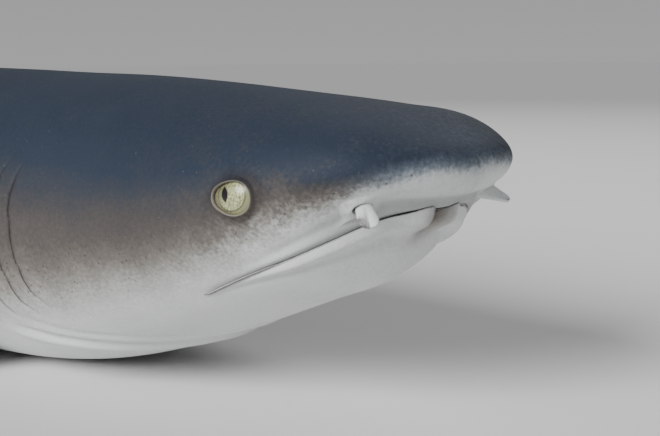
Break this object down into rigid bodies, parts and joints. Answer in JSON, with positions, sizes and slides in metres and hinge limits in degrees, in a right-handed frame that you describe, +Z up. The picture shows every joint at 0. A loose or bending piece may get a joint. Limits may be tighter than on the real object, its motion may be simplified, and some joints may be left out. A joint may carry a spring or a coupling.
{
  "type": "shark",
  "caption": "Life-size museum model of an adult whitetip reef shark lying at rest on its belly, head a little raised, mouth barely open",
  "frame": {"origin": "On the floor, under the middle of the model's footprint (bounding box bottom centre)", "axes": "+X runs towards the snout, +Y to the shark's left, +Z up. X is the longest extent"},
  "size_m": [1.4552, 0.6204, 0.3155],
  "materials": {
    "skin": "satin shark skin: slate grey back, paler grey-white underside, white fin tips",
    "eye": "wet gloss, pale yellow-green iris with an upright slit pupil"
  },
  "bodies": {
    "root": {"head": "skin", "lower_jaw": "skin", "eye_left": "eye", "eye_right": "eye", "nasal_flap_left": "skin", "nasal_flap_right": "skin", "gill_region": "skin", "trunk_front": "skin", "trunk_middle": "skin", "trunk_rear": "skin", "tail_stem": "skin", "first_dorsal_fin": "skin", "second_dorsal_fin": "skin", "pectoral_fin_left": "skin", "pectoral_fin_right": "skin", "pelvic_fin_left": "skin", "pelvic_fin_right": "skin", "anal_fin": "skin", "caudal_upper_lobe": "skin", "caudal_lower_lobe": "skin"}
  },
  "joints": []
}
